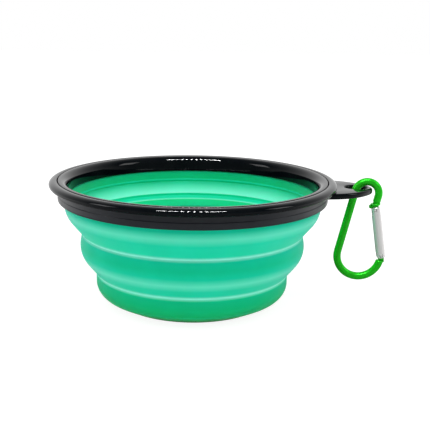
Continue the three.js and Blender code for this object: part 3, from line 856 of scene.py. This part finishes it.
bar = Vector(joints["carabiner_swing"]["pos_m"])
hinge = Vector(joints["gate_hinge"]["pos_m"])
gate_axis = Vector(joints["plunger_slide"]["axis"]).normalized()
gate_lean = math.atan2(-gate_axis.x, gate_axis.z)
gate_frame = Matrix.Translation(hinge) @ Matrix.Rotation(-gate_lean, 4, "Y")
top_centre = bar - Vector((HANG_INSIDE_BAR, 0, HANG_BELOW_BAR))
bottom_centre = top_centre - Vector((ARC_SIDE_STEP, 0, ARC_SPACING))
nose_start = in_plane(top_centre, TOP_ARC_RADIUS, -NOSE_ANGLE)
nose_end = nose_start - NOSE_LENGTH * Vector((math.sin(NOSE_ANGLE), 0, math.cos(NOSE_ANGLE)))
gate_length = (nose_end - hinge).length - NOSE_GAP
latch_height = gate_length - LATCH_PIN_BELOW_END

gate_steel = brushed_material("gate_steel", (0.8, 0.79, 0.78), roughness=0.34, turn=-gate_lean)
wire_steel = brushed_material("spring_steel", (0.55, 0.55, 0.54), roughness=0.36, turn=-gate_lean)


def rod_arc(centre, radius, start, end):
    """Places along one of the rod's round bends."""
    angles = [start + (end - start) * step / ROD_ARC_STEPS for step in range(ROD_ARC_STEPS + 1)]
    return [in_plane(centre, radius, angle) for angle in angles]


def carabiner_path():
    """The rod's middle line and its radius at each point, from the nose round to the hinge end."""
    arc_distance = math.hypot(ARC_SIDE_STEP, ARC_SPACING)
    spine_lean = math.atan2(ARC_SIDE_STEP, ARC_SPACING)
    spine_lean += math.asin((BOTTOM_ARC_RADIUS - TOP_ARC_RADIUS) / arc_distance)
    spine_angle = math.pi - spine_lean
    end_angle = 2 * math.pi - ROD_END_ANGLE
    distances = (0, NECK_LENGTH, NECK_LENGTH + ROD_RADIUS - NECK_RADIUS)
    nose = [nose_end.lerp(nose_start, distance / NOSE_LENGTH) for distance in distances]
    bends = rod_arc(top_centre, TOP_ARC_RADIUS, -NOSE_ANGLE, spine_angle)
    bends += rod_arc(bottom_centre, BOTTOM_ARC_RADIUS, spine_angle, end_angle)
    # The rounded end takes the room of the last two places
    rod_end = bends[-1]
    places = nose + bends[:-2]
    radii = [NECK_RADIUS, NECK_RADIUS, ROD_RADIUS] + [ROD_RADIUS] * len(bends[:-2])
    along = Vector((math.sin(ROD_END_ANGLE), 0, math.cos(ROD_END_ANGLE)))
    for angle in spread_angles(0, 90, ROD_END_STEPS):
        places.append(rod_end + (math.sin(angle) - 1) * ROD_END_ROUND * along)
        radii.append(ROD_RADIUS - ROD_END_ROUND * (1 - math.cos(angle)))
    return places, radii


def carabiner_rod():
    """The bent rod with the nose's collar and hooked blade, and the hinge's tenon."""
    mesh_data = add_swept(bmesh.new(), *carabiner_path())
    collar_bottom = gate_length + NOSE_GAP
    collar = filleted([
        (0, collar_bottom, 0),
        (COLLAR_RADIUS, collar_bottom, COLLAR_ROUND),
        (COLLAR_RADIUS, collar_bottom + COLLAR_HEIGHT, COLLAR_ROUND),
        (0, collar_bottom + COLLAR_HEIGHT, 0),
    ])
    add_turned(mesh_data, collar, False, TUBE_SIDES, gate_frame)
    notch = LATCH_PIN_RADIUS + SEAM_GAP
    half = BLADE_WIDTH / 2
    hook_x = COLLAR_ROUND - GATE_RADIUS - NOSE_HOOK
    hook_z = latch_height + notch + COLLAR_ROUND
    bottom = gate_length - BLADE_DEPTH
    top = collar_bottom + COLLAR_HEIGHT / 2
    blade = [
        *arc_points(hook_x, top - COLLAR_ROUND, COLLAR_ROUND, 90, 180, BLADE_CORNER_STEPS),
        *arc_points(hook_x, hook_z, COLLAR_ROUND, 180, 270, BLADE_CORNER_STEPS),
        *arc_points(-LATCH_PIN_RADIUS, latch_height, notch, 90, -90, BLADE_ARC_STEPS),
        (-half, latch_height - notch),
        *arc_points(0, bottom + half, half, 180, 360, BLADE_ARC_STEPS),
        (half, top),
    ]
    add_plate(mesh_data, blade, BLADE_THICKNESS, gate_frame)
    tenon_bottom = -HINGE_RISE - ROD_RADIUS / 2
    tenon = [
        (TENON_FLAT, tenon_bottom),
        *arc_points(0, 0, TENON_RADIUS, 0, TENON_ROUND_DEGREES, TENON_ARC_STEPS),
        *arc_points(0, 0, TENON_RADIUS, 180 - TENON_ROUND_DEGREES, 180, TENON_ARC_STEPS),
        (-TENON_FLAT, tenon_bottom),
    ]
    add_plate(mesh_data, tenon, BLADE_THICKNESS, gate_frame)
    return finish_mesh("carabiner_rod", mesh_data, [anodised])


def across_gate(x, z):
    """The gate's frame turned so that Z runs across it, along Y, through the given place."""
    return gate_frame @ Matrix.Translation((x, 0, z)) @ Matrix.Rotation(math.pi / 2, 4, "X")


hinge_pin_place = across_gate(0, 0)
latch_pin_place = across_gate(-LATCH_PIN_RADIUS, latch_height)


def round_cutter(radius, low, high, place):
    """A round tool that reaches from low to high along its own Z."""
    profile = [Vector((0, low)), Vector((radius, low)), Vector((radius, high)), Vector((0, high))]
    return finish_mesh("cutter", add_turned(bmesh.new(), profile, False, TUBE_SIDES, place), [])


def slot_cutter(low, high):
    """A flat tool that slots the gate from low to high."""
    outline = [(-CUTTER_REACH, low), (CUTTER_REACH, low), (CUTTER_REACH, high), (-CUTTER_REACH, high)]
    return finish_mesh("cutter", add_plate(bmesh.new(), outline, SLOT_WIDTH, gate_frame), [])


def gate_tube():
    """The gate, slotted at both ends, bored from the hinge end and drilled for its pins."""
    profile = filleted([
        (0, -GATE_FOOT, 0),
        (GATE_RADIUS - GATE_CHAMFER, -GATE_FOOT, CREASE_ROUND),
        (GATE_RADIUS, GATE_CHAMFER - GATE_FOOT, CREASE_ROUND),
        (GATE_RADIUS, gate_length - GATE_CHAMFER, CREASE_ROUND),
        (GATE_RADIUS - GATE_CHAMFER, gate_length, CREASE_ROUND),
        (0, gate_length, 0),
    ])
    mesh_data = add_turned(bmesh.new(), profile, False, TUBE_SIDES, gate_frame)
    tube = finish_mesh("carabiner_gate_tube", mesh_data, [gate_steel])
    return cut_away(
        tube,
        slot_cutter(-CUTTER_REACH, HINGE_SLOT_DEPTH),
        slot_cutter(gate_length - NOSE_SLOT_DEPTH, gate_length + CUTTER_REACH),
        round_cutter(BORE_RADIUS, 0, HINGE_SLOT_DEPTH + BORE_LENGTH, gate_frame),
        round_cutter(HINGE_PIN_RADIUS + PIN_CLEARANCE, -CUTTER_REACH, CUTTER_REACH, hinge_pin_place),
        round_cutter(LATCH_PIN_RADIUS + PIN_CLEARANCE, -CUTTER_REACH, CUTTER_REACH, latch_pin_place),
    )


def pin(name, radius, length, place):
    """A cross pin with softly rounded ends."""
    half = length / 2
    end_round = radius / 3
    profile = filleted([(0, -half, 0), (radius, -half, end_round), (radius, half, end_round), (0, half, 0)])
    return finish_mesh(name, add_turned(bmesh.new(), profile, False, ROD_SIDES, place), [gate_steel])


# The pieces over the CAD nodes. The spring and the plunger keep their solids

def dress(piece, slot, *nodes):
    """Puts a piece in the place of CAD nodes and hides them; the slot argument is not used."""
    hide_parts(*nodes)
    return piece


upper = dress(upper_silicone(), "silicone", "upper_band", "upper_fold")
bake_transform(upper)
lower = dress(lower_silicone(), "silicone", "middle_band", "lower_fold", "base_cup")
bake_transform(lower)
outer_ring = dress(rim_outer(), "rim_plastic", "rim_outer_ring")
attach(outer_ring, "rim")
top_ring = dress(rim_top(), "rim_plastic", "rim_top_ring")
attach(top_ring, "rim")
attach(dress(carabiner_rod(), "anodised_green", "carabiner_body"), "carabiner")
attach(dress(gate_tube(), "gate_steel", "carabiner_gate"), "gate")
hinge_pin = pin("hinge_pin_round", HINGE_PIN_RADIUS, 2 * GATE_RADIUS, hinge_pin_place)
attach(dress(hinge_pin, "gate_steel", "gate_hinge_pin"), "gate")
latch_pin = pin("latch_pin_round", LATCH_PIN_RADIUS, 2 * (GATE_RADIUS - PIN_CLEARANCE), latch_pin_place)
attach(dress(latch_pin, "gate_steel", "gate_latch_pin"), "gate")
for name in ("gate_spring", "gate_plunger"):
    solid = frame["nodes"][name].data
    solid.materials.clear()
    solid.materials.append(wire_steel)


# Floor, light and camera

def sees_studio(tree):
    """1 on the rays that see the studio: camera, glossy and transmission rays."""
    path = tree.nodes.new("ShaderNodeLightPath")
    bounced = larger(tree, path.outputs["Is Glossy Ray"], path.outputs["Is Transmission Ray"])
    return larger(tree, path.outputs["Is Camera Ray"], bounced)


def is_camera_ray(tree):
    """1 on the rays that come straight from the camera."""
    return tree.nodes.new("ShaderNodeLightPath").outputs["Is Camera Ray"]


def floor_glow(tree):
    """White paper to the camera. In reflections it is dim near the bowl and on the camera's side."""
    place = tree.nodes.new("ShaderNodeTexCoord")
    distance = tree.nodes.new("ShaderNodeVectorMath")
    distance.operation = "LENGTH"
    axes = tree.nodes.new("ShaderNodeSeparateXYZ")
    tree.links.new(place.outputs["Object"], distance.inputs[0])
    tree.links.new(place.outputs["Object"], axes.inputs["Vector"])
    away = distance.outputs["Value"]
    reflected = tree.nodes.new("ShaderNodeMix")
    reflected.inputs["A"].default_value = REFLECTED_NEAR_GLOW
    tree.links.new(ranged(tree, away, *REFLECTED_DISTANCES, 0, 1), reflected.inputs["Factor"])
    far_glow = ranged(tree, axes.outputs["Y"], *FRONT_TO_BACK, *REFLECTED_FAR_GLOW)
    tree.links.new(far_glow, reflected.inputs["B"])
    level = tree.nodes.new("ShaderNodeMix")
    tree.links.new(is_camera_ray(tree), level.inputs["Factor"])
    tree.links.new(reflected.outputs["Result"], level.inputs["A"])
    tree.links.new(ranged(tree, away, *CAMERA_DISTANCES, *CAMERA_GLOW), level.inputs["B"])
    glow = tree.nodes.new("ShaderNodeEmission")
    tree.links.new(level.outputs["Result"], glow.inputs["Strength"])
    return glow.outputs["Emission"]


def floor_material():
    """Pale paper that lights the bowl from below, and shows its glow and the bowl's shadow."""
    material = bpy.data.materials.new("studio_floor")
    material.use_nodes = True
    tree = material.node_tree
    tree.nodes.clear()
    paper = tree.nodes.new("ShaderNodeBsdfDiffuse")
    paper.inputs["Color"].default_value = (FLOOR_TONE, FLOOR_TONE, FLOOR_TONE, 1)
    seen_paper = tree.nodes.new("ShaderNodeBsdfDiffuse")
    tone = ranged(tree, is_camera_ray(tree), 0, 1, REFLECTED_TONE, CAMERA_TONE)
    tree.links.new(tone, seen_paper.inputs["Color"])
    glowing = tree.nodes.new("ShaderNodeAddShader")
    tree.links.new(seen_paper.outputs["BSDF"], glowing.inputs[0])
    tree.links.new(floor_glow(tree), glowing.inputs[1])
    mix = tree.nodes.new("ShaderNodeMixShader")
    tree.links.new(sees_studio(tree), mix.inputs["Fac"])
    tree.links.new(paper.outputs["BSDF"], mix.inputs[1])
    tree.links.new(glowing.outputs["Shader"], mix.inputs[2])
    output = tree.nodes.new("ShaderNodeOutputMaterial")
    tree.links.new(mix.outputs["Shader"], output.inputs["Surface"])
    return material


def studio_floor():
    """A wide flat sheet that the bowl stands on."""
    mesh_data = bmesh.new()
    sides = ((-1, -1), (1, -1), (1, 1), (-1, 1))
    corners = [mesh_data.verts.new((x * FLOOR_HALF_SIZE, y * FLOOR_HALF_SIZE, 0)) for x, y in sides]
    mesh_data.faces.new(corners)
    finish_mesh("studio_floor", mesh_data, [floor_material()])


def studio_world():
    """White to the camera, a soft sky to the surfaces and a backdrop to the reflections."""
    world = bpy.data.worlds.new("studio")
    bpy.context.scene.world = world
    world.use_nodes = True
    tree = world.node_tree
    background = tree.nodes["Background"]
    background.inputs["Color"].default_value = (1, 1, 1, 1)
    direction = tree.nodes.new("ShaderNodeTexCoord")
    axes = tree.nodes.new("ShaderNodeSeparateXYZ")
    tree.links.new(direction.outputs["Generated"], axes.inputs["Vector"])
    behind = tree.nodes.new("ShaderNodeVectorMath")
    behind.operation = "DOT_PRODUCT"
    behind.inputs[1].default_value = BACKDROP_SIDE
    tree.links.new(direction.outputs["Generated"], behind.inputs[0])
    sky = ranged(tree, axes.outputs["Z"], *SKY_HEIGHTS, *SKY_LEVELS)
    backdrop = ranged(tree, behind.outputs["Value"], *BACKDROP_SPAN, *BACKDROP_LEVELS)
    level = tree.nodes.new("ShaderNodeMix")
    tree.links.new(sees_studio(tree), level.inputs["Factor"])
    tree.links.new(sky, level.inputs["A"])
    tree.links.new(larger(tree, backdrop, is_camera_ray(tree)), level.inputs["B"])
    tree.links.new(level.outputs["Result"], background.inputs["Strength"])


def softbox(name, place, size, power):
    """A rectangular lamp aimed at the bowl."""
    lamp = bpy.data.lights.new(name, "AREA")
    lamp.shape = "RECTANGLE"
    lamp.size, lamp.size_y = size
    lamp.energy = power
    holder = bpy.data.objects.new(name, lamp)
    bpy.context.scene.collection.objects.link(holder)
    aim = Vector((0, 0, RIM_TOP / 2))
    turn = (Vector(place) - aim).to_track_quat("Z", "Y").to_matrix().to_4x4()
    holder.matrix_world = Matrix.Translation(place) @ turn
    return holder


def studio_lamps(rings):
    """A row of small lamps, each with a taller one that only the rings' gloss reflects, and two fills."""
    shiny = bpy.data.collections.new("shiny_pieces")
    for ring in rings:
        shiny.objects.link(ring)
    for index in range(KEY_LAMPS):
        place = (KEY_HALF_LENGTH * (2 * index / (KEY_LAMPS - 1) - 1), KEY_Y, KEY_Z)
        softbox("key_row", place, KEY_SIZE, KEY_POWER / KEY_LAMPS)
        glint = softbox("glint_row", place, GLINT_SIZE, GLINT_POWER / KEY_LAMPS)
        glint.light_linking.receiver_collection = shiny
        glint.visible_diffuse = False
    softbox("left_fill", (-FILL_X, FILL_Y, FILL_Z), FILL_SIZE, FILL_POWER)
    softbox("right_fill", (FILL_X, FILL_Y, FILL_Z), FILL_SIZE, FILL_POWER)


def photo_camera():
    """A camera that stands where the photograph's did, aimed and rolled as it was."""
    camera = bpy.data.cameras.new("photo_camera")
    camera.sensor_width = SENSOR_WIDTH
    camera.lens = FOCAL_PIXELS / IMAGE_SIZE * SENSOR_WIDTH
    camera.shift_x = (IMAGE_SIZE / 2 - AXIS_PIXEL) / IMAGE_SIZE
    camera.clip_start = CAMERA_CLIP_START
    holder = bpy.data.objects.new("photo_camera", camera)
    bpy.context.scene.collection.objects.link(holder)
    turn = Matrix.Rotation(math.pi / 2 - CAMERA_PITCH, 4, "X") @ Matrix.Rotation(CAMERA_ROLL, 4, "Z")
    around = Matrix.Rotation(CAMERA_AZIMUTH, 4, "Z")
    holder.matrix_world = around @ Matrix.Translation(CAMERA_PLACE) @ turn
    bpy.context.scene.camera = holder


studio_floor()
studio_world()
studio_lamps([outer_ring, top_ring])
photo_camera()
bpy.context.scene.view_settings.view_transform = "Standard"
